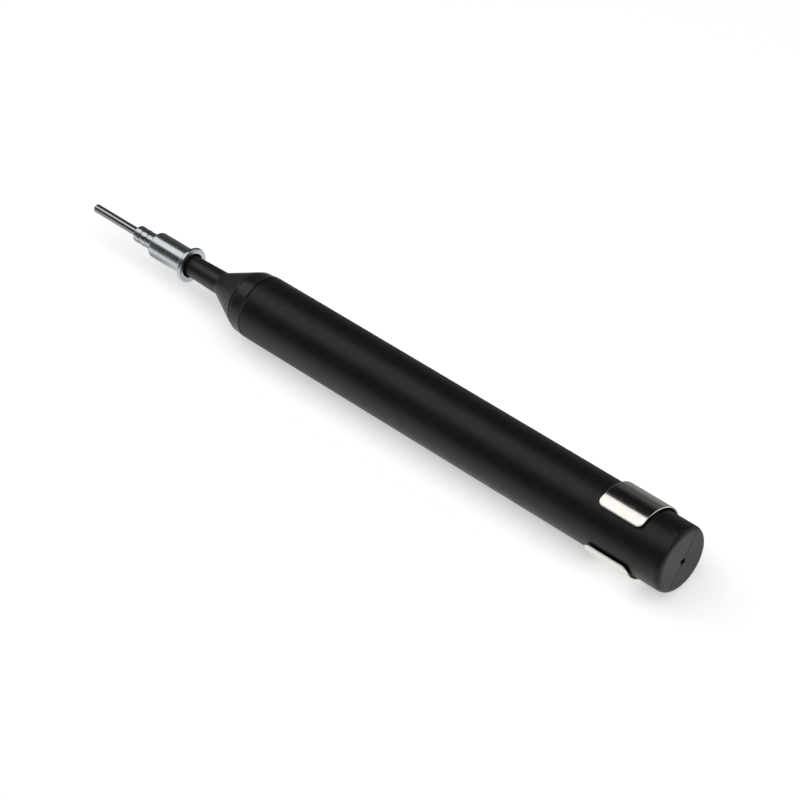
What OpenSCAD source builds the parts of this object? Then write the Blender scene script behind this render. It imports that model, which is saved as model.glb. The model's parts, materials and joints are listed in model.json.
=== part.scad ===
// Vacuum pick up pen: a hand tool that lifts small parts with a blunt needle.
// Sizes are in millimetres. The origin is the centre of the needle's open end.
// +X runs back along the pen to its tail, +Z is up, and the pen lies as it rests on a table.

/* [Barrel] */
// Outer diameter of the barrel
barrel_d = 12.7; // [12.2:0.1:15]
// Length of the two half shells, collar front to tail face
barrel_len = 104; // [100:0.5:125]
// Wall of the half shells
wall = 1.5; // [1.3:0.05:1.6]
// Length of the tapered collar at the front
collar_len = 3.5; // [2:0.1:5]
// How far the collar narrows, on the radius
collar_drop = 0.5; // [0.1:0.05:0.6]
// Width of the groove behind the collar
edge_groove_w = 0.36; // [0.2:0.02:0.5]
// Depth of the groove behind the collar
edge_groove_h = 0.24; // [0.1:0.02:0.3]
// Rounding of the tail rim
tail_round = 1.15; // [0.6:0.1:1.6]
// Thickness of the closed tail
tail_wall = 2; // [1.8:0.1:3]
// Side of the square vent hole in the tail
vent_side = 1.1; // [0.6:0.05:1.3]
// Open hairline between the two halves
seam_gap = 0.12; // [0.04:0.01:0.16]

/* [Nozzle] */
// Length of the cone
cone_len = 7.5; // [6:0.1:10]
// Step from collar to cone, on the radius
cone_step = 0.15; // [0.05:0.05:0.3]
// Open joint between cone and collar
joint_gap = 0.12; // [0.06:0.02:0.2]
// Length of neck that shows between hub and cone
neck_show = 8.4; // [6:0.1:11]
// Neck diameter at the hub's mouth
neck_d = 4.14; // [3.9:0.02:4.3]
// Taper of the neck, diameter lost for each millimetre
neck_taper = 0.06; // [0.04:0.005:0.07]
// Length of nose inside the hub
nose_in = 7.1; // [5:0.1:7.6]
// Rounding where the neck meets the cone
neck_round = 0.9; // [0.4:0.1:1.2]
// Diameter of the air bore
air_d = 2; // [1.4:0.1:2.2]
// Length of the spigot inside the shells
spigot_len = 9; // [8:0.1:12]
// Length of the stub that carries the bladder
stub_len = 9; // [7:0.1:10]

/* [Needle tip] */
// Outer diameter of the needle
needle_d = 1.65; // [1.2:0.05:1.85]
// Wall of the needle
needle_wall = 0.23; // [0.15:0.01:0.3]
// Length of needle that shows
needle_show = 12; // [8:0.5:25]
// Length of needle inside the hub
needle_in = 7; // [5:0.1:7.2]
// Diameter of the crimped sleeve
sleeve_d = 3.3; // [3:0.1:3.8]
// Length of the crimped sleeve
sleeve_len = 5.4; // [4.5:0.1:7]
// Depth of each crimp ring
crimp_depth = 0.16; // [0.08:0.02:0.24]
// Width of each crimp ring
crimp_w = 0.7; // [0.4:0.05:0.9]
// Diameter of the hub body
hub_d = 5.2; // [5:0.1:6]
// Length of the hub body
hub_len = 8.9; // [8.6:0.1:11]
// Diameter of the hub flange
flange_d = 7.05; // [6.4:0.05:8.5]
// Thickness of the hub flange
flange_t = 1; // [0.8:0.05:1.4]
// Diameter of the flared mouth
mouth_d = 5; // [4.7:0.05:5.2]

/* [Pocket clip] */
// Sheet thickness
clip_t = 0.35; // [0.25:0.05:0.6]
// Width of the band along the barrel
band_w = 9.5; // [6:0.1:14]
// Bare barrel behind the band
band_pos = 6.5; // [3:0.1:12]
// Angle of the band's opening
band_open = 67; // [40:1:100]
// Rounding of the band's free corners
band_corner = 1.1; // [0.4:0.05:1.5]
// Angle from the button's line to the arm
clip_set = 13.5; // [0:0.5:25]
// Width of the arm
arm_w = 5; // [4:0.1:6]
// Height of the arm's hump above the barrel
arm_rise = 2.8; // [2.2:0.05:3.2]
// Length of the arm's straight run
arm_run = 25; // [16:0.5:28]
// Steepness of the arm's hump
hump_angle = 60; // [45:1:70]
// Bend radius of the hump
hump_r = 1.3; // [0.9:0.05:1.5]
// Bend radius of the turned up lip
lip_r = 4; // [2.5:0.1:5]
// Angle of the turned up lip
lip_angle = 35; // [20:1:45]
// Straight end of the lip
lip_len = 1.2; // [0.5:0.1:2]

/* [Press button] */
// Length of the button
button_len = 21; // [16:0.5:22]
// Width of the button
button_w = 4.8; // [4:0.1:5.2]
// Height of the button above the barrel
button_proud = 1.1; // [0.8:0.05:1.3]
// Crown radius across the button
crown_r = 3.2; // [2.8:0.1:4]
// How much lower the button's ends are
end_drop = 0.8; // [0.4:0.05:0.9]
// Distance from collar front to the button's middle
button_pos = 36; // [34:0.5:42]
// Thickness of the button's inner flange
flange_skin = 0.9; // [0.7:0.05:1]
// Overlap of the inner flange past the window
flange_over = 1.1; // [0.7:0.1:1.2]

/* [Bladder] */
// Wall of the soft tube
bladder_wall = 0.8; // [0.6:0.05:0.9]
// Thickness of the clamp rings
ring_t = 0.5; // [0.3:0.05:0.6]
// Width of the clamp rings
ring_w = 2; // [1.5:0.1:2.5]
// Length of the plug's stub
plug_len = 8; // [6.5:0.1:10]
// Thickness of the plug's disc
disc_t = 1.6; // [1.2:0.1:2.2]
// Thickness of the shell ribs
rib_t = 1.2; // [0.9:0.1:1.5]

/* [Fits] */
// Radial gap between neck taper and hub bore
taper_gap = 0.03; // [0.02:0.005:0.05]
// Gap between button and window, each side
button_gap = 0.12; // [0.08:0.01:0.2]
// Gap between flange and shell
skin_gap = 0.05; // [0.04:0.01:0.08]
// Gap between flange and bladder
squeeze_gap = 0.2; // [0.1:0.05:0.3]
// Gap of pieces that are seated in the shells
seat_gap = 0.05; // [0.03:0.01:0.08]
// Radial gap under the clip's band
band_gap = 0.33; // [0.05:0.01:0.4]
// Gap of the soft tube on its stubs and in its rings
soft_gap = 0.02; // [0.01:0.005:0.03]
// Gap of the needle in its hub
press_gap = 0.01; // [0.005:0.005:0.02]

/* [Hidden] */
$fn = 96;
cut = 0.5;
steps = 6;

barrel_r = barrel_d / 2;
cavity_r = barrel_r - wall;
collar_r = barrel_r - collar_drop;
collar_bevel = collar_drop / 2;
cone_r = collar_r - cone_step;

// Stations along the pen, from the needle's open end
x_sleeve = needle_show;
x_hub = x_sleeve + sleeve_len;
x_flange = x_hub + hub_len;
x_mouth = x_flange + flange_t;
x_nose = x_mouth - nose_in;
x_cone = x_mouth + neck_show;
x_base = x_cone + cone_len;
x_rim = x_base - joint_gap;
x_edge = x_base + collar_len;
x_tail = x_base + barrel_len;
x_needle_end = x_sleeve + needle_in;

// Nose and neck
neck_half = neck_taper / 2;
nose_r = neck_d / 2 - neck_half * nose_in;
root_r = neck_d / 2 + neck_half * neck_show;
air_r = air_d / 2;

// Hub bore
mouth_deep = flange_t;
bore_in_r = neck_d / 2 - neck_half * mouth_deep + taper_gap;
bore_end_r = nose_r + taper_gap;
needle_r = needle_d / 2;
bevel = 0.15;
sleeve_bevel = 0.35;
stake_w = 0.8;
stake_depth = needle_wall * 0.4;
crimp_first = 0.3;
crimp_second = 0.6;

// Button, window and flange
skin_out_r = cavity_r - skin_gap;
skin_in_r = skin_out_r - flange_skin;
x_button = x_base + button_pos;
button_top = barrel_r + button_proud;
window_len = button_len + 2 * button_gap;
window_w = button_w + 2 * button_gap;
skin_len = window_len + 2 * flange_over;
skin_w = window_w + 2 * flange_over;
end_r = (button_len * button_len / 4 + end_drop * end_drop) / (2 * end_drop);
pad_root = skin_in_r + flange_skin / 4;

// Bladder, plug and rings
bladder_r = skin_in_r - squeeze_gap;
bladder_in_r = bladder_r - bladder_wall;
stub_r = bladder_in_r - soft_gap;
x_spigot = x_base + spigot_len;
x_stub = x_spigot + stub_len;
bladder_ease = 0.4;
x_bladder = x_spigot + bladder_ease;
x_plug = x_button + skin_len / 2 + plug_len + rib_t + 2;
x_bladder_end = x_plug - rib_t - 2 * seat_gap - bladder_ease;
ring_inset = 2.2;
x_ring_front = x_bladder + ring_inset;
x_ring_rear = x_bladder_end - ring_inset - ring_w;
disc_r = cavity_r - 4 * seat_gap;
stub_notch = 0.25;

// Ribs and lip that join the halves
spigot_r = cavity_r - seat_gap;
groove_w = 1.6;
groove_at = 4;
groove_r = spigot_r - 1.1;
rib_bite = wall / 3;
cradle_gap = 0.1;
cradle_pitch = 9;
cradle_count = 3;
tongue_w = wall / 3;
tongue_h = 0.6;
tongue_r = cavity_r + wall / 2;
x_tongue = x_edge + 3;
x_tongue_end = x_tail - tail_wall - 2;

// Pocket clip
band_in_r = barrel_r + band_gap;
band_out_r = band_in_r + clip_t;
x_band = x_tail - band_pos - band_w;
arm_lift = arm_rise - band_gap;
hump_run = arm_lift - 2 * hump_r * (1 - cos(hump_angle));
hump_slope = hump_run / sin(hump_angle);
tip_gap = 0.3;
arm_mid_r = band_in_r + clip_t / 2 + arm_lift;
arm_dip_r = barrel_r + tip_gap + clip_t / 2;
arm_slope = atan((arm_mid_r - arm_dip_r) / arm_run);
arm_out_r = arm_mid_r + clip_t / 2;
arm_root_round = 1.5;
foot_flat = 0.4;
bends = 8;

// Rest on a table: the band's underside and the arm's lower edge touch it
arm_half = asin(arm_w / 2 / arm_out_r);
arm_below = asin(band_out_r / arm_out_r) - arm_half;
rest_roll = 90 - clip_set - arm_below;

plastic_black = [0.10, 0.10, 0.11];
nickel = [0.78, 0.78, 0.76];
steel = [0.80, 0.80, 0.78];
soft_grey = [0.55, 0.52, 0.47];

// Turns a flat outline round the pen: outline x is the radius, outline y is the station
module turned() {
    rotate([0, 90, 0]) rotate_extrude() children();
}

// Rectangle in the turned outline, from radius r0 to r1 and station x0 to x1
module ring_area(r0, r1, x0, x1) {
    translate([r0, x0]) square([r1 - r0, x1 - x0]);
}

// Rolls the whole pen to the way it lies on a table
module resting() {
    rotate([rest_roll, 0, 0]) children();
}

// Half space above the parting plane, less half of the open hairline
module upper_half() {
    translate([x_base - cut, -barrel_d, seam_gap / 2])
        cube([barrel_len + 2 * cut, 2 * barrel_d, barrel_d]);
}

// Half space below the parting plane
module lower_half() {
    mirror([0, 0, 1]) upper_half();
}

// Outside outline of the barrel with its collar, the groove behind it and the rounded tail rim
module barrel_area() {
    difference() {
        polygon([
            [0, x_base], [collar_r, x_base], [collar_r + collar_bevel, x_base + 2 * collar_bevel],
            [barrel_r, x_edge - edge_groove_w], [barrel_r - edge_groove_h, x_edge - edge_groove_w],
            [barrel_r - edge_groove_h, x_edge], [barrel_r, x_edge],
            [barrel_r, x_tail], [0, x_tail]
        ]);
        translate([barrel_r - tail_round, x_tail - tail_round]) difference() {
            square(tail_round + cut);
            circle(tail_round);
        }
    }
}

// Ribs that both halves have: one holds the nozzle, two hold the plug's disc
module holding_ribs() {
    turned() {
        ring_area(
            groove_r + seat_gap, cavity_r + rib_bite,
            x_base + groove_at + seat_gap, x_base + groove_at + groove_w - seat_gap
        );
        ring_area(
            bladder_r + cradle_gap, cavity_r + rib_bite,
            x_plug - rib_t - seat_gap, x_plug - seat_gap
        );
        ring_area(
            bladder_in_r, cavity_r + rib_bite,
            x_plug + disc_t + seat_gap, x_plug + disc_t + rib_t + seat_gap
        );
    }
}

// Hollow barrel before it is split, with ribs and the vent in the tail
module barrel_hollow() {
    difference() {
        union() {
            turned() difference() {
                barrel_area();
                ring_area(0, cavity_r, x_base - cut, x_tail - tail_wall);
            }
            holding_ribs();
        }
        translate([x_tail - tail_wall - cut, 0, 0]) rotate([45, 0, 0])
            translate([0, -vent_side / 2, -vent_side / 2])
                cube([tail_wall + 2 * cut, vent_side, vent_side]);
    }
}

// Tongue strips on both parting faces, grown by g for the matching grooves
module tongues(g) {
    for (side = [-1, 1])
        translate([x_tongue - g, side * tongue_r - tongue_w / 2 - g, -tongue_h - g])
            cube([x_tongue_end - x_tongue + 2 * g, tongue_w + 2 * g, tongue_h + g + seam_gap + cut]);
}

// Oblong outline with round ends, seen along the button's push
module oblong(len, w) {
    square([len - w, w], center = true);
    for (end = [-1, 1]) translate([end * (len - w) / 2, 0]) circle(w / 2);
}

// Half of the barrel that faces the viewer, with the cradle ribs under the bladder
module front_shell() {
    color(plastic_black) resting() {
        intersection() {
            barrel_hollow();
            upper_half();
        }
        intersection() {
            turned() for (i = [0 : cradle_count - 1])
                ring_area(
                    bladder_r + cradle_gap, cavity_r + rib_bite,
                    x_button + (i - 1) * cradle_pitch - rib_t / 2,
                    x_button + (i - 1) * cradle_pitch + rib_t / 2
                );
            upper_half();
        }
        intersection() {
            tongues(0);
            translate([x_base, -barrel_d, -barrel_d])
                cube([barrel_len, 2 * barrel_d, barrel_d + seam_gap + tongue_h]);
        }
    }
}

// Other half of the barrel, with the button's window
module back_shell() {
    color(plastic_black) resting() difference() {
        intersection() {
            barrel_hollow();
            lower_half();
        }
        tongues(seat_gap);
        translate([x_button, 0, -barrel_d]) linear_extrude(barrel_d - bladder_r / 2)
            oblong(window_len, window_w);
    }
}

// Point on the smooth curve that joins neck and cone
function bend(a, b, c, t) = (1 - t) * (1 - t) * a + 2 * t * (1 - t) * b + t * t * c;

// Moulded nozzle: nose, neck, cone, spigot with its groove, and the bladder's stub
module nozzle() {
    cone_fall = (cone_r - root_r) / (x_rim - x_cone);
    bend_from = [root_r - neck_half * neck_round, x_cone - neck_round];
    bend_mid = [root_r, x_cone];
    bend_to = [root_r + cone_fall * neck_round, x_cone + neck_round];
    nose_bevel = bevel * 2;
    color(plastic_black) resting() turned() difference() {
        union() {
            polygon(concat(
                [[0, x_nose], [nose_r - bevel, x_nose]],
                [[nose_r + neck_half * nose_bevel, x_nose + nose_bevel]],
                [for (i = [0 : steps]) bend(bend_from, bend_mid, bend_to, i / steps)],
                [[cone_r, x_rim - bevel * 2], [cone_r, x_rim], [0, x_rim]]
            ));
            ring_area(0, spigot_r, x_rim - cut, x_spigot);
            ring_area(0, stub_r, x_spigot - cut, x_stub);
        }
        ring_area(groove_r, spigot_r + cut, x_base + groove_at, x_base + groove_at + groove_w);
        for (i = [1 : 3]) translate([stub_r, x_spigot + i * stub_len / 4])
            polygon([[-stub_notch, 0], [cut, 0], [cut, 2 * stub_notch + cut], [0, 2 * stub_notch]]);
        ring_area(0, air_r, x_nose - cut, x_stub + cut);
    }
}

// Press button: crowned pad that fills the window and a curved flange that keeps it in
module press_button() {
    color(plastic_black) resting() {
        intersection() {
            turned() ring_area(
                skin_in_r, skin_out_r, x_button - skin_len / 2, x_button + skin_len / 2
            );
            translate([x_button, 0, -barrel_d]) linear_extrude(barrel_d)
                oblong(skin_len, skin_w);
        }
        intersection() {
            translate([x_button, 0, -button_top - cut]) linear_extrude(button_top + cut - pad_root)
                oblong(button_len, button_w);
            translate([x_button - button_len, 0, -button_top + crown_r]) rotate([0, 90, 0])
                cylinder(r = crown_r, h = 2 * button_len);
            translate([x_button, button_w, -button_top + end_r]) rotate([90, 0, 0])
                cylinder(r = end_r, h = 2 * button_w);
        }
    }
}

// Soft tube that is squeezed
module bladder() {
    color(soft_grey) resting() turned()
        ring_area(bladder_in_r, bladder_r, x_bladder, x_bladder_end);
}

// Plug with its stub in the tube and its disc between the shell ribs
module bladder_plug() {
    color(plastic_black) resting() turned() difference() {
        union() {
            ring_area(0, stub_r, x_plug - plug_len, x_plug + cut);
            ring_area(0, disc_r, x_plug, x_plug + disc_t);
        }
        for (i = [1 : 2]) translate([stub_r, x_plug - plug_len + i * plug_len / 4])
            polygon([[-stub_notch, 0], [cut, 0], [cut, -2 * stub_notch - cut], [0, -2 * stub_notch]]);
    }
}

// One clamp ring with its front edge at station x
module clamp_ring(x) {
    color(steel) resting() turned()
        ring_area(bladder_r + soft_gap, bladder_r + soft_gap + ring_t, x, x + ring_w);
}

module front_clamp_ring() {
    clamp_ring(x_ring_front);
}

module rear_clamp_ring() {
    clamp_ring(x_ring_rear);
}

// Middle line of the clip's sheet as [radius, station, slope]: band, hump, straight run, lip
function clip_line() =
    let (root = band_in_r + clip_t / 2)
    let (r2 = root + hump_r * (1 - cos(hump_angle)) + hump_slope * sin(hump_angle))
    let (x1 = x_band - foot_flat)
    let (x2 = x1 - hump_r * sin(hump_angle) - hump_slope * cos(hump_angle))
    let (rc = r2 - hump_r * cos(hump_angle))
    let (xc = x2 - hump_r * sin(hump_angle))
    let (r5 = rc + hump_r * cos(arm_slope) - arm_run * sin(arm_slope))
    let (x5 = xc - hump_r * sin(arm_slope) - arm_run * cos(arm_slope))
    let (rl = r5 + lip_r * cos(arm_slope))
    let (xl = x5 - lip_r * sin(arm_slope))
    let (top_turn = hump_angle + arm_slope)
    let (lip_turn = lip_angle + arm_slope)
    concat(
        [[root, x_band + band_w, 0]],
        [for (i = [0 : bends]) let (a = hump_angle * i / bends)
            [root + hump_r * (1 - cos(a)), x1 - hump_r * sin(a), a]],
        [for (i = [0 : bends]) let (a = hump_angle - top_turn * i / bends)
            [rc + hump_r * cos(a), xc + hump_r * sin(a), a]],
        [for (i = [0 : bends]) let (a = lip_turn * i / bends - arm_slope)
            [rl - lip_r * cos(a), xl - lip_r * sin(a), a]],
        [[rl - lip_r * cos(lip_angle) + lip_len * sin(lip_angle),
            xl - lip_r * sin(lip_angle) - lip_len * cos(lip_angle), lip_angle]]
    );

// Side outline of the clip: the middle line with half a sheet on each side
module clip_area() {
    line = clip_line();
    last = len(line) - 1;
    half = clip_t / 2;
    polygon(concat(
        [for (p = line) [p[0] + half * cos(p[2]), p[1] + half * sin(p[2])]],
        [for (i = [0 : last]) let (p = line[last - i])
            [p[0] - half * cos(p[2]), p[1] - half * sin(p[2])]]
    ));
}

// Plan outline of the arm with wide root and round end
module arm_plan() {
    line = clip_line();
    x_round = line[len(line) - 1][1] + arm_w / 2;
    x_root = x_band - foot_flat / 2;
    flare = [for (i = [0 : steps]) let (a = 90 * i / steps)
        [x_root - arm_root_round * (1 - sin(a)), arm_w / 2 + arm_root_round * (1 - cos(a))]];
    tip = [for (i = [1 : 2 * steps - 1]) let (a = 90 + 90 * i / steps)
        [x_round + arm_w / 2 * cos(a), arm_w / 2 * sin(a)]];
    polygon(concat(
        [[x_round, arm_w / 2]], flare, [[x_band + cut, arm_w / 2 + arm_root_round]],
        [[x_band + cut, -arm_w / 2 - arm_root_round]],
        [for (i = [0 : steps]) [flare[steps - i][0], -flare[steps - i][1]]],
        [[x_round, -arm_w / 2]], [for (i = [0 : 2 * steps - 2]) tip[2 * steps - 2 - i]]
    ));
}

// Cuts one free corner of the band round; the outline runs on past both edges of the sheet
module corner_cut(angle, turn, x, way) {
    arc = [for (i = [0 : steps]) let (a = 90 * i / steps)
        [way * band_corner * (cos(a) - 1), turn * band_corner * (1 - sin(a))]];
    run_on = cut / (band_corner * (1 - cos(90 / steps)));
    first = arc[0] + run_on * (arc[0] - arc[1]);
    last = arc[steps] + run_on * (arc[steps] - arc[steps - 1]);
    rotate([angle, 0, 0]) translate([x, 0, band_in_r - 2 * cut])
        linear_extrude(clip_t + 3 * cut) polygon(concat(
            [first], [for (i = [1 : steps - 1]) arc[i]], [last], [[way * cut, -turn * cut]]
        ));
}

// Spring steel clip: open band round the barrel, arm on the far side
module pocket_clip() {
    half = band_open / 2;
    reach = 2 * barrel_d;
    color(steel) resting() rotate([clip_set, 0, 0]) difference() {
        intersection() {
            turned() clip_area();
            union() {
                translate([x_band, -reach, -reach]) cube([band_w + cut, 2 * reach, 2 * reach]);
                translate([0, 0, -reach]) linear_extrude(reach) arm_plan();
            }
        }
        translate([x_band - cut, 0, 0]) rotate([90, 0, 90]) linear_extrude(band_w + 2 * cut)
            polygon([
                [0, 0], [reach * sin(half), reach * cos(half)],
                [-reach * sin(half), reach * cos(half)]
            ]);
        for (end = [0, 1]) {
            corner_cut(half, -1, x_band + end * band_w, end > 0 ? 1 : -1);
            corner_cut(-half, 1, x_band + end * band_w, end > 0 ? 1 : -1);
        }
    }
}

// Plated hub: flared mouth, tapered bore, crimped sleeve on the needle
module needle_hub() {
    sleeve_r = sleeve_d / 2;
    hub_r = hub_d / 2;
    flange_r = flange_d / 2;
    bore_stop = x_nose - cut;
    color(nickel) resting() turned() difference() {
        union() {
            polygon([
                [0, x_sleeve], [sleeve_r - sleeve_bevel, x_sleeve],
                [sleeve_r, x_sleeve + sleeve_bevel], [sleeve_r, x_hub + cut], [0, x_hub + cut]
            ]);
            polygon([
                [0, x_hub], [hub_r - bevel, x_hub], [hub_r, x_hub + bevel], [hub_r, x_flange],
                [flange_r - bevel, x_flange], [flange_r, x_flange + bevel],
                [flange_r, x_mouth - bevel], [flange_r - bevel, x_mouth], [0, x_mouth]
            ]);
        }
        for (place = [crimp_first, crimp_second])
            translate([sleeve_r, x_sleeve + place * sleeve_len])
                polygon([[-crimp_depth, 0], [cut, -cut - crimp_w / 2], [cut, cut + crimp_w / 2]]);
        ring_area(0, needle_r + press_gap, x_sleeve - cut, x_needle_end + press_gap);
        ring_area(0, needle_r - needle_wall, x_sleeve, bore_stop + cut);
        polygon([
            [0, bore_stop], [bore_end_r, bore_stop], [bore_end_r, x_nose],
            [bore_in_r, x_mouth - mouth_deep], [mouth_d / 2, x_mouth - bevel],
            [mouth_d / 2, x_mouth + cut], [0, x_mouth + cut]
        ]);
    }
}

// Blunt steel tube, with the shallow groove that the sleeve is staked into
module needle() {
    edge = needle_wall / 4;
    bore_r = needle_r - needle_wall;
    color(steel) resting() turned() polygon([
        [bore_r + edge, 0], [needle_r - edge, 0], [needle_r, edge],
        [needle_r, x_sleeve - edge / 2], [needle_r - stake_depth, x_sleeve + stake_w / 2],
        [needle_r, x_sleeve + stake_w], [needle_r, x_needle_end], [bore_r, x_needle_end], [bore_r, edge]
    ]);
}

front_shell();
back_shell();
nozzle();
press_button();
bladder();
bladder_plug();
front_clamp_ring();
rear_clamp_ring();
pocket_clip();
needle_hub();
needle();
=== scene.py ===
import json
import math

import bmesh
import bpy
from mathutils import Matrix, Vector


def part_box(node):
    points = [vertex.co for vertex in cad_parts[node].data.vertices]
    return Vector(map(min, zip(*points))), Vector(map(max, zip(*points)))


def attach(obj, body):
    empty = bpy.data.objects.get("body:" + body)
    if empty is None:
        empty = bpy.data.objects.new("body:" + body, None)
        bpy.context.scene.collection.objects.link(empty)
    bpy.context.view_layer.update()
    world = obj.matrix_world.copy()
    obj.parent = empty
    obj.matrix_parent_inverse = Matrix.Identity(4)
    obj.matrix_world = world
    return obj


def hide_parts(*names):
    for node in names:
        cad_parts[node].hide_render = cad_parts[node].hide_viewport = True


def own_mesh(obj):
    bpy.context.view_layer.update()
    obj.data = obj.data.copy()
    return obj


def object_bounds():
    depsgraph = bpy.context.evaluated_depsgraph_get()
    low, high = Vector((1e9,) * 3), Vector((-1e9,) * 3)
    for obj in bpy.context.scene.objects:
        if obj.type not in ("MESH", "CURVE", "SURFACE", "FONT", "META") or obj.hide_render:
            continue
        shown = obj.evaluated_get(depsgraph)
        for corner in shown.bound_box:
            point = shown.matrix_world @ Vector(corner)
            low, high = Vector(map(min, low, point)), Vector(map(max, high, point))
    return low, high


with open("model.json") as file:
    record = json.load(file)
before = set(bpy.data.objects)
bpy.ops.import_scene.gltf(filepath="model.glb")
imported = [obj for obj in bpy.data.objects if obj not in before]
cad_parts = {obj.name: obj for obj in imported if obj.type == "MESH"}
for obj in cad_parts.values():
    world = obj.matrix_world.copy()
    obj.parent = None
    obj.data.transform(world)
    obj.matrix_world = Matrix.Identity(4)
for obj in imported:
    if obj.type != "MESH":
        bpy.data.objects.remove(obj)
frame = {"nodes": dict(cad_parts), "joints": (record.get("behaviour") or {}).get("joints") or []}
nodes = frame["nodes"]
cad_low, cad_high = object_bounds()

MM = 0.001


def joint_axis(name):
    """Axis of a joint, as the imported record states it."""
    found = [j for j in frame["joints"] if j["name"] == name]
    return Vector(found[0]["axis"]).normalized()


def span(node):
    """Stations in millimetres where a node starts and ends along the pen."""
    low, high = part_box(node)
    return low.x / MM, high.x / MM


# Stations along the pen in millimetres, from the needle's open end
NEEDLE_TIP, NEEDLE_END = span("needle")
SLEEVE, MOUTH = span("needle_hub")
NOSE, STUB_END = span("nozzle")
COLLAR, TAIL = span("front_shell")
BLADDER, BLADDER_END = span("bladder")
BUTTON = sum(span("press_button")) / 2

# The pen lies rolled: the button pushes along PRESS, and angles are taken from the button's line
PRESS = joint_axis("button_press")
ROLL = math.atan2(-PRESS.y, PRESS.z)

# Barrel in millimetres, with the middle of the groove behind its collar
BARREL_R = 6.35
COLLAR_LEN, GROOVE_W = 3.5, 0.36
GROOVE = COLLAR + COLLAR_LEN - GROOVE_W / 2

# Needle and hub
NEEDLE_R, NEEDLE_BORE = 0.825, 0.595
SLEEVE_R, SLEEVE_LEN = 1.65, 5.4
HUB_R, FLANGE_R, FLANGE_T, MOUTH_R = 2.6, 3.525, 1.0, 2.5

# Nozzle: a slip taper that the hub sits on, a cone and a spigot inside the shells
NECK_R, NECK_SLOPE, NECK_LEN, TAPER_GAP = 2.07, 0.03, 8.4, 0.03
CONE_R, RIM_GAP, SPIGOT_R, SPIGOT_LEN = 5.7, 0.12, 4.8, 9
CONE_ROOT, RIM, SPIGOT_END = MOUTH + NECK_LEN, COLLAR - RIM_GAP, COLLAR + SPIGOT_LEN

# The button's curved flange, the bladder that it squeezes and the nozzle's stub inside the bladder
SKIN_OUT, SKIN_IN = 4.8, 3.9
SQUEEZE_GAP, BLADDER_WALL, SOFT_GAP = 0.2, 0.8, 0.02
BLADDER_R = SKIN_IN - SQUEEZE_GAP
BLADDER_IN = BLADDER_R - BLADDER_WALL
STUB_R = BLADDER_IN - SOFT_GAP

# Pocket clip: the sheet, its band round the barrel and the root of its arm
SHEET, BAND_GAP, BAND_W, BAND_CORNER, BARE_TAIL = 0.35, 0.33, 9.5, 1.1, 6.5
BAND_FRONT = TAIL - BARE_TAIL - BAND_W
BAND_R = BARREL_R + BAND_GAP + SHEET / 2
BAND_OPENING, CLIP_SET = math.radians(67), math.radians(13.5)
ARM_W, ARM_FLARE, ARM_FOOT = 5.0, 1.5, 0.4

# The sheet's edges are full round, so its middle surface ends this far inside its outline
INSET = SHEET / 2

# Camera, fitted to the photo: where it aims, its bearing, its height and its own roll
AIM = Vector((83.272, -1.634, 0)) * MM
AZIMUTH, ELEVATION, TILT = math.radians(50.406), math.radians(45.823), math.radians(-9.712)
TO_CAMERA = Vector((
    math.sin(AZIMUTH) * math.cos(ELEVATION),
    -math.cos(AZIMUTH) * math.cos(ELEVATION),
    math.sin(ELEVATION),
))

# Angle from the button's line to the side of the barrel that faces the camera
FACING = math.atan2(TO_CAMERA.y, -TO_CAMERA.z) - ROLL


def outward(angle):
    """Direction away from the axis, at an angle in radians from the button's line."""
    return Vector((0, math.sin(ROLL + angle), -math.cos(ROLL + angle)))


def place(station, radius, angle):
    """Point in metres at a station, a radius and an angle from the button's line."""
    point = outward(angle) * radius
    point.x = station
    return point * MM


def neck_r(station):
    """Radius of the slip taper at a station."""
    return NECK_R + NECK_SLOPE * (station - MOUTH)


# Mesh helpers

def finish_mesh(name, verts, faces, sharp=40):
    """Closed mesh with merged poles, outward normals and smooth shading up to an angle in degrees."""
    mesh = bpy.data.meshes.new(name)
    mesh.from_pydata(verts, [], faces)
    bm = bmesh.new()
    bm.from_mesh(mesh)
    bmesh.ops.remove_doubles(bm, verts=bm.verts, dist=1e-7)
    bmesh.ops.recalc_face_normals(bm, faces=bm.faces)
    bm.to_mesh(mesh)
    bm.free()
    for polygon in mesh.polygons:
        polygon.use_smooth = True
    mesh.set_sharp_from_angle(angle=math.radians(sharp))
    return mesh


def add_piece(mesh, material, body, node):
    """New piece, named as its mesh, that rides on a body and stands for a node."""
    obj = bpy.data.objects.new(mesh.name, mesh)
    bpy.context.scene.collection.objects.link(obj)
    mesh.materials.append(material)
    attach(obj, body)
    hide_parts(node)
    return obj


def rounded(points):
    """Closed outline of (station, radius, fillet) with an arc at each corner."""
    out = []
    count = len(points)
    for i, (x, r, fillet) in enumerate(points):
        corner = Vector((x, r))
        to_last = Vector(points[i - 1][:2]) - corner
        to_next = Vector(points[(i + 1) % count][:2]) - corner
        a, b = to_last.normalized(), to_next.normalized()
        half = math.acos(max(-1.0, min(1.0, a.dot(b)))) / 2
        back = min(fillet / math.tan(half), to_last.length * 0.49, to_next.length * 0.49)
        fillet = back * math.tan(half)
        centre = corner + (a + b).normalized() * (fillet / math.sin(half))
        start = corner + a * back - centre
        turn = start.angle_signed(corner + b * back - centre)
        steps = max(4, int(abs(turn) / math.radians(9)))
        for k in range(steps + 1):
            out.append(tuple(centre + Matrix.Rotation(-turn * k / steps, 2) @ start))
    return out


def turned(name, outline, segments=128, shape=None):
    """Closed outline of (station, radius) turned round the pen's axis."""
    verts, faces = [], []
    count = len(outline)
    for k in range(segments):
        angle = 2 * math.pi * k / segments
        for x, r in outline:
            verts.append(place(x, shape(x, r, angle) if shape else r, angle))
    for k in range(segments):
        j = (k + 1) % segments
        for i in range(count):
            m = (i + 1) % count
            faces.append((k * count + i, j * count + i, j * count + m, k * count + m))
    return finish_mesh(name, verts, faces)


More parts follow.
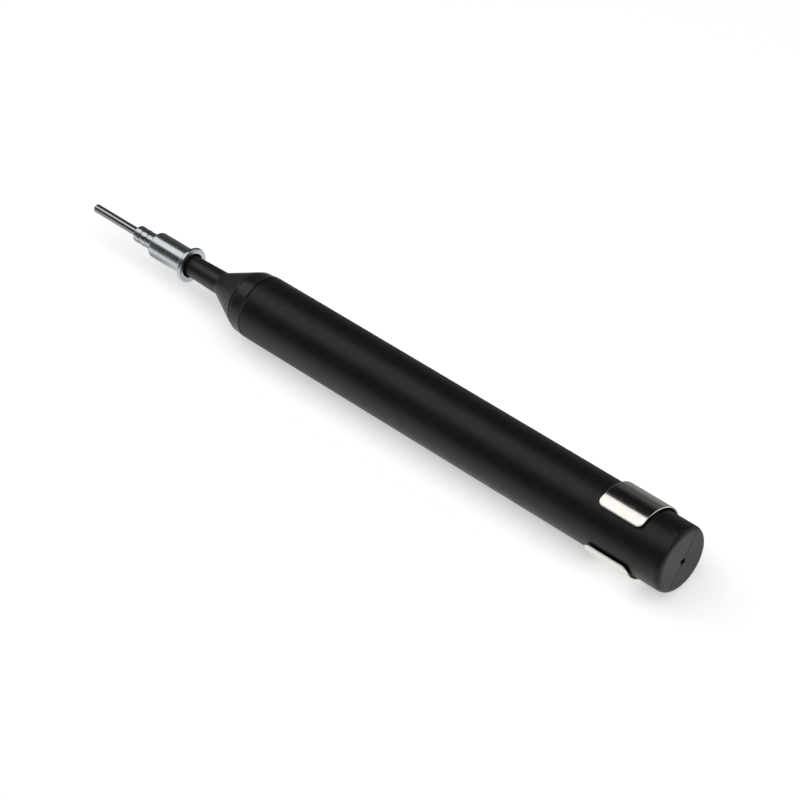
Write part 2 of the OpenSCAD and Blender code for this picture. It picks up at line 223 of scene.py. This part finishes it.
def rim_direction(vert):
    """Direction in a sheet's own plane, straight out of the sheet at a point of its rim."""
    away = Vector()
    for edge in vert.link_edges:
        if edge.is_boundary:
            face = edge.link_faces[0]
            side = (edge.verts[1].co - edge.verts[0].co).cross(face.normal).normalized()
            inside = face.calc_center_median() - edge.verts[0].co
            away += side if side.dot(inside) < 0 else -side
    return (away - vert.normal * away.dot(vert.normal)).normalized()


def bent_sheet(name, verts, faces, thick):
    """Closed sheet round a middle surface, with full round edges."""
    bm = bmesh.new()
    points = [bm.verts.new(v) for v in verts]
    for face in faces:
        bm.faces.new([points[i] for i in face])
    bmesh.ops.recalc_face_normals(bm, faces=bm.faces)
    bm.normal_update()
    bm.verts.index_update()
    half, count, steps = thick / 2, len(points), 8
    out = [v.co + v.normal * half for v in points] + [v.co - v.normal * half for v in points]
    skin = [list(face) for face in faces] + [[i + count for i in reversed(face)] for face in faces]
    edges = [e for e in bm.edges if e.is_boundary]
    rims = {}
    for v in dict.fromkeys(v for e in edges for v in e.verts):
        away = rim_direction(v)
        ring = [v.index]
        for k in range(1, steps):
            turn = math.pi * k / steps
            ring.append(len(out))
            out.append(v.co + (away * math.sin(turn) + v.normal * math.cos(turn)) * half)
        rims[v.index] = ring + [v.index + count]
    for e in edges:
        a, b = (rims[v.index] for v in e.verts)
        skin += [(a[k], b[k], b[k + 1], a[k + 1]) for k in range(steps)]
    bm.free()
    return finish_mesh(name, out, skin, 180)


# Materials

def grey(tone, blue=1.0):
    """Grey of a tone, with its blue part scaled."""
    return (tone, tone, tone * blue)


class Graph:
    """Shader nodes of a material or a world by short calls."""

    def __init__(self, owner, shader="Principled BSDF", coordinates="Object"):
        owner.use_nodes = True
        self.owner = owner
        self.tree = owner.node_tree
        self.shader = self.tree.nodes[shader]
        self.place = self.add("ShaderNodeTexCoord").outputs[coordinates]

    def add(self, kind, values=None, **settings):
        """New node with its settings, and with values or links for its inputs."""
        node = self.tree.nodes.new(kind)
        for key, setting in settings.items():
            setattr(node, key, setting)
        for key, value in (values or {}).items():
            self.feed(node.inputs[key], value)
        return node

    def feed(self, socket, value):
        """Links a socket or sets a value, where a plain colour gets its alpha."""
        if hasattr(value, "is_linked"):
            self.tree.links.new(value, socket)
        elif socket.type == "RGBA" and len(value) == 3:
            socket.default_value = (*value, 1)
        else:
            socket.default_value = value

    def set(self, name, value):
        self.feed(self.shader.inputs[name], value)

    def split(self):
        """The place's X, Y and Z."""
        return tuple(self.add("ShaderNodeSeparateXYZ", {0: self.place}).outputs)

    def math(self, operation, a, b=0.0):
        return self.add("ShaderNodeMath", {0: a, 1: b}, operation=operation).outputs[0]

    def times(self, a, b):
        return self.math("MULTIPLY", a, b)

    def flip(self, share):
        return self.math("SUBTRACT", 1.0, share)

    def away(self, value, centre):
        """Distance of a coordinate from a centre that is given in millimetres."""
        return self.math("ABSOLUTE", self.math("SUBTRACT", value, centre * MM))

    def remap(self, value, low, high, to_low, to_high):
        values = {"Value": value, "From Min": low, "From Max": high, "To Min": to_low, "To Max": to_high}
        return self.add("ShaderNodeMapRange", values).outputs[0]

    def fade(self, value, low, high, to_low=0.0, to_high=1.0):
        """Ramp of a coordinate between two places that are given in millimetres."""
        return self.remap(value, low * MM, high * MM, to_low, to_high)

    def mix(self, share, a, b):
        """Mix of two colours."""
        return self.add("ShaderNodeMix", {0: share, 6: a, 7: b}, data_type="RGBA").outputs[2]

    def length(self, vector):
        return self.add("ShaderNodeVectorMath", {0: vector}, operation="LENGTH").outputs["Value"]

    def mapped(self, kind, **values):
        """The place shifted, turned or scaled."""
        values["Vector"] = self.place
        return self.add("ShaderNodeMapping", values, vector_type=kind).outputs[0]

    def noise(self, scale, detail, rough=0.55, vector=None):
        values = {"Vector": vector or self.place, "Scale": scale, "Detail": detail, "Roughness": rough}
        return self.add("ShaderNodeTexNoise", values).outputs["Fac"]

    def spot(self, point, size, turn):
        """1 at a point, falling to 0 at the ellipsoid of half axes size, in metres."""
        reach = self.length(self.mapped("TEXTURE", Location=point, Rotation=turn, Scale=size))
        return self.remap(reach, 0.6, 1.0, 1.0, 0.0)

    def bump(self, height, strength, distance):
        values = {"Height": height, "Strength": strength, "Distance": distance}
        self.set("Normal", self.add("ShaderNodeBump", values).outputs[0])


def clouded(g, low, high):
    """Colour that drifts faintly between two."""
    return g.mix(g.noise(180, 5), low, high)


def moulded(g, tone, rough):
    """Colour and roughness of satin moulded plastic."""
    colour = clouded(g, grey(tone * 0.8, 1.1), grey(tone * 1.2, 1.117))
    return colour, g.remap(g.noise(420, 4), 0.3, 0.7, *rough)


def plastic(g, colour, roughness, gloss):
    """Plastic with fine grain and a cool sheen."""
    g.set("Base Color", colour)
    g.set("Roughness", roughness)
    g.set("Specular IOR Level", gloss)
    g.set("Specular Tint", (0.88, 0.91, 0.98))
    g.bump(g.noise(9000, 3), 0.12, 0.02 * MM)
    return g.owner


def plain_plastic(name, tone, rough, gloss):
    """Satin moulded plastic of one tone."""
    g = Graph(bpy.data.materials.new(name))
    return plastic(g, *moulded(g, tone, rough), gloss)


def mark(station, radius, up, size, turn, pale):
    """Small pale mark, placed by its degrees up from the camera's side, with half sizes in millimetres."""
    point = place(station, radius, FACING - math.radians(up))
    return point, Vector(size) * MM, turn, pale


MARKS = (
    mark(COLLAR + 0.4, radius=6.02, up=10.3, size=(0.17, 0.3, 0.4), turn=(0.4, 0, 0), pale=0.2),
    mark(TAIL - 1.05, radius=6.3, up=31.0, size=(0.45, 0.1, 0.25), turn=(0, 0.5, 0.3), pale=0.07),
    mark(TAIL - 1.45, radius=6.33, up=33.3, size=(0.2, 0.1, 0.3), turn=(0, 0.2, 0.6), pale=0.05),
)


def shell_plastic(name, painted_tail_tone):
    """The barrel's black plastic, with a smoother collar, painted sheen that makes the collar and the tail
    face paler, and the small marks.
    """
    g = Graph(bpy.data.materials.new(name))
    colour, roughness = moulded(g, 0.0085, (0.36, 0.45))
    x, y, _ = g.split()

    # Collar: smoother than the barrel up to the groove, but dull on the bevel at its front; its paler
    # colour is a painted sheen
    past_bevel = g.fade(x, COLLAR + 0.3, COLLAR + 0.45)
    collar = g.times(past_bevel, g.fade(x, GROOVE - 0.12, GROOVE - 0.02, 1.0, 0.0))
    colour = g.mix(collar, colour, clouded(g, grey(0.014, 1.036), grey(0.021, 1.048)))
    roughness = g.math("SUBTRACT", roughness, g.times(collar, 0.12))
    roughness = g.math("ADD", roughness, g.times(g.flip(past_bevel), 0.45))

    # Groove: a dark line on the upper half; its low side is painted paler, a painted reflection of the
    # floor
    groove = g.fade(g.away(x, GROOVE), GROOVE_W / 2, GROOVE_W / 2 + 0.02, 1.0, 0.0)
    low_side = g.fade(y, -3.2, -4.4)
    colour = g.mix(g.times(groove, low_side), colour, grey(0.115))

    # Tail face: painted paler, a painted reflection
    tail_face = g.fade(x, TAIL - 0.3, TAIL - 0.02)
    colour = g.mix(tail_face, colour, clouded(g, grey(painted_tail_tone * 0.85, 1.024), grey(painted_tail_tone, 1.03)))
    for point, size, turn, pale in MARKS:
        nick = g.spot(point, size, turn)
        colour = g.mix(nick, colour, grey(pale, 0.975))
        roughness = g.math("ADD", roughness, g.times(nick, 0.2))
    return plastic(g, colour, roughness, 0.3)


def metal(name, colour, rough, lines, strength, dents=0.0):
    """Bright metal with fine lines, finest along the axes where lines is large, and shallow dents."""
    g = Graph(bpy.data.materials.new(name))
    streak = g.noise(1.0, 4, 0.6, g.mapped("POINT", Scale=lines))
    dull = tuple(c * 0.84 for c in colour)
    g.set("Metallic", 1.0)
    g.set("Base Color", g.mix(g.noise(700, 5), dull, colour))
    g.set("Roughness", g.remap(streak, 0.3, 0.7, *rough))
    height = g.math("ADD", streak, g.times(g.noise(950, 2), dents)) if dents else streak
    g.bump(height, strength, 0.01 * MM)
    return g.owner


def silicone(name):
    """Soft milky tube."""
    g = Graph(bpy.data.materials.new(name))
    g.set("Base Color", g.mix(g.noise(300, 4), (0.36, 0.325, 0.27), (0.47, 0.43, 0.365)))
    g.set("Roughness", g.remap(g.noise(900, 3), 0.3, 0.7, 0.5, 0.65))
    g.set("Subsurface Weight", 0.1)
    g.set("Subsurface Radius", Vector((1, 0.9, 0.7)) * MM)
    g.bump(g.noise(5000, 3), 0.15, 0.03 * MM)
    return g.owner


# The front shell's tail face is painted paler than the back's: painted light on the lit half
front_mat = shell_plastic("front_shell_black", painted_tail_tone=0.042)
back_mat = shell_plastic("back_shell_black", painted_tail_tone=0.022)
nozzle_mat = plain_plastic("nozzle_black", tone=0.0088, rough=(0.38, 0.47), gloss=0.48)
button_mat = plain_plastic("button_black", tone=0.0085, rough=(0.40, 0.50), gloss=0.4)
plug_mat = plain_plastic("plug_grey", tone=0.16, rough=(0.45, 0.55), gloss=0.4)
hub_mat = metal(
    "hub_nickel", (0.585, 0.613, 0.632), rough=(0.20, 0.32), lines=(260, 2600, 2600),
    strength=0.5, dents=3.0,
)
needle_mat = metal(
    "needle_steel", (0.39, 0.39, 0.388), rough=(0.16, 0.25), lines=(300, 6000, 6000), strength=0.25
)
clip_mat = metal(
    "clip_steel", (0.82, 0.80, 0.755), rough=(0.11, 0.19), lines=(900, 3000, 3000), strength=0.06
)
ring_mat = metal(
    "ring_steel", (0.58, 0.58, 0.56), rough=(0.22, 0.32), lines=(3000, 600, 600), strength=0.15
)
bladder_mat = silicone("bladder_rubber")


def dress(node, material):
    """Gives a node that keeps its own shape a better material."""
    nodes[node].data.materials.clear()
    nodes[node].data.materials.append(material)


dress("front_shell", front_mat)
dress("back_shell", back_mat)
dress("bladder_plug", plug_mat)
for ring_node in ("front_clamp_ring", "rear_clamp_ring"):
    dress(ring_node, ring_mat)


# Needle: blunt tube with broken edges and the staked groove inside its hub

def needle():
    stake, stake_depth = 0.4, 0.09
    outline = rounded([
        (NEEDLE_TIP, NEEDLE_BORE, 0.06), (NEEDLE_TIP, NEEDLE_R, 0.08),
        (SLEEVE - 0.03, NEEDLE_R, 0.05), (SLEEVE + stake, NEEDLE_R - stake_depth, 0.1),
        (SLEEVE + 2 * stake, NEEDLE_R, 0.05),
        (NEEDLE_END, NEEDLE_R, 0.04), (NEEDLE_END, NEEDLE_BORE, 0.04),
    ])
    add_piece(turned("needle_tube", outline), needle_mat, "tip", "needle")


# Hub: turned and plated, with two ring crimps that the tool left slightly uneven

def hub():
    front, flange = SLEEVE + SLEEVE_LEN, MOUTH - FLANGE_T
    stop, slack = NOSE - 0.5, 0.01
    lead_len, lead_drop, front_round = 0.32, 0.3, 0.85
    flange_slant, rim_round, rim_back, rim_drop = 0.3, 0.32, 0.05, 0.5
    crimps = [SLEEVE + share * SLEEVE_LEN for share in (0.3, 0.6)]
    crimp_half, crimp_depth, crimp_waver, crimp_lobes, crimp_twist = 0.4, 0.2, 0.04, 5, 3
    outline = [
        (SLEEVE, NEEDLE_R + slack, 0.05), (SLEEVE, SLEEVE_R - lead_drop, 0.2),
        (SLEEVE + lead_len, SLEEVE_R, 0.25),
    ]
    for x in crimps:
        outline += [
            (x - crimp_half, SLEEVE_R, 0.2), (x, SLEEVE_R - crimp_depth, 0.14),
            (x + crimp_half, SLEEVE_R, 0.2),
        ]
    outline += [
        (front, SLEEVE_R, 0.03), (front, HUB_R, front_round),
        (flange, HUB_R, 0.2), (flange + flange_slant, FLANGE_R, 0.3),
        (MOUTH - rim_back, FLANGE_R, rim_round), (MOUTH, FLANGE_R - rim_drop, 0.1), (MOUTH, MOUTH_R, 0.1),
        (flange, neck_r(flange) + TAPER_GAP, 0.1), (NOSE, neck_r(NOSE) + TAPER_GAP, 0.05),
        (stop, neck_r(NOSE) + TAPER_GAP, 0.05), (stop, NEEDLE_BORE, 0.03),
        (NEEDLE_END + slack, NEEDLE_BORE, 0.02), (NEEDLE_END + slack, NEEDLE_R + slack, 0.02),
    ]

    def uneven(x, r, angle):
        """Radius, lowered in lobes near a crimp."""
        dip = max(0.0, 1 - min(abs(x - c) for c in crimps) / crimp_half)
        return r - crimp_waver * dip * (1 + math.cos(crimp_lobes * angle + crimp_twist * x))

    mesh = turned("hub_body", rounded(outline), 160, uneven)
    add_piece(mesh, hub_mat, "tip", "needle_hub")


# Nozzle: nose, neck, cone, the spigot with the seat for the shells' rib, and the barbed stub

def nozzle():
    bore, lead, root_round = 1.0, 0.3, 1.4
    seat, seat_w, seat_r = COLLAR + 4, 1.6, 3.7
    barbs, barb_len, barb_depth = 3, 0.5, 0.25
    outline = [
        (NOSE, bore, 0.1), (NOSE, neck_r(NOSE), 0.25), (CONE_ROOT, neck_r(CONE_ROOT), root_round),
        (RIM - lead, CONE_R, 0.5), (RIM, CONE_R, 0.06), (RIM, SPIGOT_R, 0.05),
        (seat, SPIGOT_R, 0.05), (seat, seat_r, 0.05),
        (seat + seat_w, seat_r, 0.05), (seat + seat_w, SPIGOT_R, 0.05),
        (SPIGOT_END, SPIGOT_R, 0.1), (SPIGOT_END, STUB_R, 0.1),
    ]
    for i in range(1, barbs + 1):
        x = SPIGOT_END + i * (STUB_END - SPIGOT_END) / (barbs + 1)
        outline += [(x, STUB_R, 0.03), (x, STUB_R - barb_depth, 0.03), (x + barb_len, STUB_R, 0.05)]
    outline += [(STUB_END, STUB_R, 0.15), (STUB_END, bore, 0.1)]
    mesh = turned("nozzle_body", rounded(outline), 160)
    add_piece(mesh, nozzle_mat, "handle", "nozzle")


# Bladder: soft tube that the button squeezes, drawn round

def bladder():
    outline = rounded([
        (BLADDER, BLADDER_IN, 0.15), (BLADDER, BLADDER_R, 0.25),
        (BLADDER_END, BLADDER_R, 0.25), (BLADDER_END, BLADDER_IN, 0.15),
    ])
    mesh = turned("bladder_tube", outline, 96)
    piece = add_piece(mesh, bladder_mat, "handle", "bladder")
    far_side = place(BUTTON, BLADDER_R, math.pi)
    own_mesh(piece)


# Press button: one closed form of stadium rings, from the flange's inside up over the crowned pad

def press_button():
    half_run, pad_half, skin_half, proud = 8.1, 2.4, 3.62, 1.1
    top, crown_r, end_r = BARREL_R + proud, 3.2, 69.3
    pad_edge, skin_edge, root = 0.45, 0.1, 0.15
    around, corner = 120, math.radians(45)

    def on_skin(radius):
        return lambda u, w: math.sqrt(radius * radius - w * w)

    def crown(u, w):
        across = crown_r - math.sqrt(crown_r * crown_r - w * w)
        along = end_r - math.sqrt(end_r * end_r - u * u)
        return top - math.hypot(across, along)

    def below_crown(fall):
        return lambda u, w: crown(u, w) - fall

    # Rings as (half width, height): the flange's inside, edge and outside, the pad's root, edge and crown
    wrap = math.asin(skin_half / SKIN_IN)
    rings = [(SKIN_IN * math.sin(wrap * k / 16), on_skin(SKIN_IN)) for k in range(17)]
    rings += [(skin_half, on_skin(SKIN_OUT - skin_edge)), (skin_half - skin_edge, on_skin(SKIN_OUT))]
    ledge = skin_half - skin_edge - pad_half - root
    rings += [(skin_half - skin_edge - ledge * k / 4, on_skin(SKIN_OUT)) for k in range(1, 5)]
    rings += [(pad_half + root / 3, on_skin(SKIN_OUT + root / 3)), (pad_half, on_skin(SKIN_OUT + root))]
    for k in range(9):
        turn = math.pi / 2 * k / 8
        half_width = pad_half - pad_edge * (1 - math.cos(turn))
        rings.append((half_width, below_crown(pad_edge * (1 - math.sin(turn)))))
    rings += [((pad_half - pad_edge) * (1 - k / 8), crown) for k in range(1, 9)]

    def stadium(half_width, angle):
        """Point (along, across) of a stadium, with half round ends and straight sides."""
        cos, sin = math.cos(angle), math.sin(angle)
        u = math.copysign(half_run, cos) + half_width * cos
        if abs(sin) > math.sin(corner):
            share = cos / math.cos(corner)
            u = half_run * share + half_width * cos * abs(share)
        beyond = max(0.0, abs(u) - half_run)
        return u, math.copysign(math.sqrt(max(0.0, half_width ** 2 - beyond ** 2)), sin)

    side, up = outward(math.pi / 2), outward(0)
    verts, faces = [], []
    for half_width, height in rings:
        for k in range(around):
            u, w = stadium(half_width, 2 * math.pi * (k + 0.5) / around)
            verts.append((Vector((BUTTON + u, 0, 0)) + side * w + up * height(u, w)) * MM)
    for i in range(len(rings) - 1):
        for k in range(around):
            j = (k + 1) % around
            faces.append((i * around + k, i * around + j, (i + 1) * around + j, (i + 1) * around + k))
    mesh = finish_mesh("button_pad", verts, faces, 50)
    add_piece(mesh, button_mat, "button", "press_button")


# Pocket clip: one sheet, bent from a flat blank into the open band and the arm

def arm_line():
    """Middle line of the arm as (radius, station), from the band's front edge over the hump to the lip."""
    rise, run, tip_gap = 2.8, 25.0, 0.3
    hump, hump_r = math.radians(60), 1.3
    lip, lip_r, lip_len = math.radians(35), 4.0, 1.2
    lift = rise - BAND_GAP
    slope = math.atan((BAND_R + lift - BARREL_R - tip_gap - INSET) / run)
    straight = (lift - 2 * hump_r * (1 - math.cos(hump))) / math.sin(hump)
    line = [(BAND_R, BAND_FRONT)]

    def walk(lengths, heading):
        for length in lengths:
            r, x = line[-1]
            line.append((r + length * math.sin(heading), x - length * math.cos(heading)))

    def bend(radius, start, end, steps=10):
        turn = (end - start) / steps
        chord = 2 * radius * math.sin(abs(turn) / 2)
        for k in range(steps):
            walk([chord], start + turn * (k + 0.5))

    # Short steps where the arm's outline curves: at its foot and at its round tip
    walk([0.03, 0.07, 0.1, 0.1, ARM_FOOT - 0.3], 0)
    bend(hump_r, 0, hump)
    walk([straight / 3] * 3, hump)
    bend(hump_r, hump, -slope, 14)
    walk([run / 40] * 40, -slope)
    bend(lip_r, -slope, lip)
    shares = (10, 14, 11, 9, 7, 5, 3, 1)
    walk([share / sum(shares) * (lip_len - INSET) for share in shares], lip)
    return line


def arm_half(x, tip):
    """Half width of the arm's middle surface at a station: wide at its root, round at its tip."""
    round_r, narrowest = ARM_W / 2 - INSET, 0.02
    reach = tip + round_r - x
    if reach > 0:
        return math.sqrt(max(narrowest ** 2, round_r ** 2 - reach ** 2))
    fillet = ARM_FLARE + INSET
    near = min(max(0.0, x - (BAND_FRONT - ARM_FOOT / 2 - ARM_FLARE)), fillet)
    return ARM_W / 2 + ARM_FLARE - math.sqrt(fillet ** 2 - near ** 2)


def between(a, b):
    """Faces between two rows of points."""
    return [(a[k], a[k + 1], b[k + 1], b[k]) for k in range(len(a) - 1)]


def pocket_clip():
    # Columns round the band: those of the arm in the middle, then out to both free ends
    mid, outer = 12, 64
    end = math.pi - BAND_OPENING / 2 - INSET / BAND_R
    root_half = math.asin((ARM_W / 2 + ARM_FLARE) / BAND_R)
    ends = [root_half + (end - root_half) * k / outer for k in range(1, outer + 1)]
    columns = [-a for a in reversed(ends)] + [root_half * k / mid for k in range(-mid, mid + 1)] + ends

    # Rows across the band, close together where its corners are round
    curve, clear = BAND_CORNER - INSET, BAND_W - SHEET
    near_edge = [curve * (1 - math.cos(math.pi / 2 * k / 8)) for k in range(9)]
    rows = near_edge + [curve + (clear - 2 * curve) * k / 10 for k in range(1, 10)]
    rows += [clear - e for e in reversed(near_edge)]

    # The band, drawn in at its free ends where the corners are round
    verts, faces = [], []
    for along in rows:
        edge = min(along, clear - along, curve)
        trim = (curve - math.sqrt(max(0.0, curve ** 2 - (curve - edge) ** 2))) / BAND_R
        for a in columns:
            pull = max(0.0, abs(a) - root_half) / (end - root_half)
            a = math.copysign(abs(a) - trim * pull ** 6, a)
            verts.append(place(BAND_FRONT + INSET + along, BAND_R, CLIP_SET + a))
    wide = len(columns)
    for start in range(0, wide * (len(rows) - 1), wide):
        faces += between(range(start, start + wide), range(start + wide, start + 2 * wide))

    # The arm starts from the middle columns of the band's first row
    last = range(outer, outer + 2 * mid + 1)
    line = arm_line()
    tip = line[-1][1]
    for r, x in line[1:]:
        new = range(len(verts), len(verts) + 2 * mid + 1)
        half = math.asin(arm_half(x, tip) / r)
        verts += [place(x, r, CLIP_SET + half * k / mid) for k in range(-mid, mid + 1)]
        faces += between(new, last)
        last = new
    mesh = bent_sheet("clip_sheet", verts, faces, SHEET * MM)
    add_piece(mesh, clip_mat, "handle", "pocket_clip")


needle()
hub()
nozzle()
bladder()
press_button()
pocket_clip()


# Stage: pale floor, soft light from above and behind, camera where the photo was taken from

def floor():
    edge = 6.0
    mesh = bpy.data.meshes.new("floor")
    corners = [(-edge, -edge, 0), (edge, -edge, 0), (edge, edge, 0), (-edge, edge, 0)]
    mesh.from_pydata(corners, [], [(0, 1, 2, 3)])
    obj = bpy.data.objects.new("floor", mesh)
    obj.location.z = cad_low.z
    bpy.context.scene.collection.objects.link(obj)
    mesh.materials.append(floor_white())


def floor_white():
    """White floor whose colour in mirror-like reflections is painted shade: darker behind the pen, with a
    painted shadow strip under it.
    """
    g = Graph(bpy.data.materials.new("floor_white"))
    x, y, _ = g.split()

    # Edges of the tones in millimetres, each as the two places between which it fades
    behind_front, behind_end = (3, 9), (TAIL - 1, TAIL + 3)
    strip_y, strip_half, strip_run = -6, (3, 8), (20, 110)
    patch_x, patch_half, patch_back = 29, (9, 14), (22, 30)
    near_run, far_back = (20, 50), (35, 70)

    # Painted shade in reflections: darker behind the pen and in a painted shadow strip under it, apart from
    # a painted bright patch behind the hub
    behind = g.times(g.fade(y, *behind_front), g.fade(x, *behind_end, 1.0, 0.0))
    painted_shadow_strip = g.times(g.fade(g.away(y, strip_y), *strip_half, 0.65, 0.0), g.fade(x, *strip_run, 1.0, 0.0))
    patch = g.times(g.fade(g.away(x, patch_x), *patch_half, 0.9, 0.0), g.fade(y, *patch_back, 1.0, 0.0))
    shade = g.times(g.math("MAXIMUM", behind, painted_shadow_strip), g.flip(patch))
    near = g.mix(g.fade(x, *near_run), grey(0.2), grey(0.45))
    dark = g.mix(g.fade(y, *far_back), near, grey(0.36))

    # A glow, stronger away from the lights, whitens what the camera sees and the bright part of reflections
    path = g.add("ShaderNodeLightPath").outputs
    mirrored = path["Is Glossy Ray"]
    seen = g.math("MAXIMUM", path["Is Camera Ray"], g.times(mirrored, g.flip(shade)))
    glow = g.fade(g.length(g.place), 250, 1100, 0.54, 0.96)
    g.set("Base Color", g.mix(g.times(mirrored, shade), grey(0.86), dark))
    g.set("Roughness", 0.9)
    g.set("Specular IOR Level", 0.1)
    g.set("Emission Color", grey(1))
    g.set("Emission Strength", g.times(seen, glow))
    return g.owner


def room(low_tone, high_tone, ahead_tone):
    """Dim room, darker overhead than at the horizon, paler ahead of the needle, and white to the camera."""
    world = bpy.data.worlds.new("room")
    bpy.context.scene.world = world
    g = Graph(world, "Background", "Generated")
    x, _, z = g.split()
    ahead = g.remap(x, -0.9, -0.65, ahead_tone, 0.0)
    tone = g.math("ADD", g.remap(z, 0.2, 0.5, low_tone, high_tone), ahead)
    seen = g.add("ShaderNodeLightPath").outputs["Is Camera Ray"]
    g.set("Color", g.math("MAXIMUM", tone, seen))


def softbox(name, offset, size, radiance):
    """Soft light at an offset from the pen's middle, which it faces."""
    light = bpy.data.lights.new(name, "AREA")
    light.shape = "RECTANGLE"
    light.size, light.size_y = size
    light.energy = radiance * math.pi * size[0] * size[1]
    obj = bpy.data.objects.new(name, light)
    bpy.context.scene.collection.objects.link(obj)
    obj.location = AIM + offset
    obj.rotation_mode = "QUATERNION"
    obj.rotation_quaternion = (-offset).to_track_quat("-Z", "Y")
    obj.visible_camera = False


def camera(distance, lens):
    """Camera that looks at AIM from the photo's side."""
    right = Vector((math.cos(AZIMUTH), math.sin(AZIMUTH), 0))
    up = TO_CAMERA.cross(right)
    turned_right = right * math.cos(TILT) + up * math.sin(TILT)
    turned_up = up * math.cos(TILT) - right * math.sin(TILT)
    data = bpy.data.cameras.new("camera")
    data.lens, data.sensor_width = lens, 36.0
    data.clip_start, data.clip_end = 0.01, 50
    obj = bpy.data.objects.new("camera", data)
    bpy.context.scene.collection.objects.link(obj)
    pose = Matrix((turned_right, turned_up, TO_CAMERA)).transposed().to_4x4()
    pose.translation = AIM + TO_CAMERA * distance
    obj.matrix_world = pose
    bpy.context.scene.camera = obj


floor()
room(low_tone=0.095, high_tone=0.008, ahead_tone=0.12)
softbox("softbox_top", Vector((0, -0.035, 0.5)), size=(2.0, 0.46), radiance=1.3)
softbox("softbox_rear", Vector((0.5, 0.6, 0.32)), size=(0.6, 0.5), radiance=0.7)
camera(distance=0.513907, lens=129.36)

bpy.context.scene.view_settings.view_transform = "Standard"
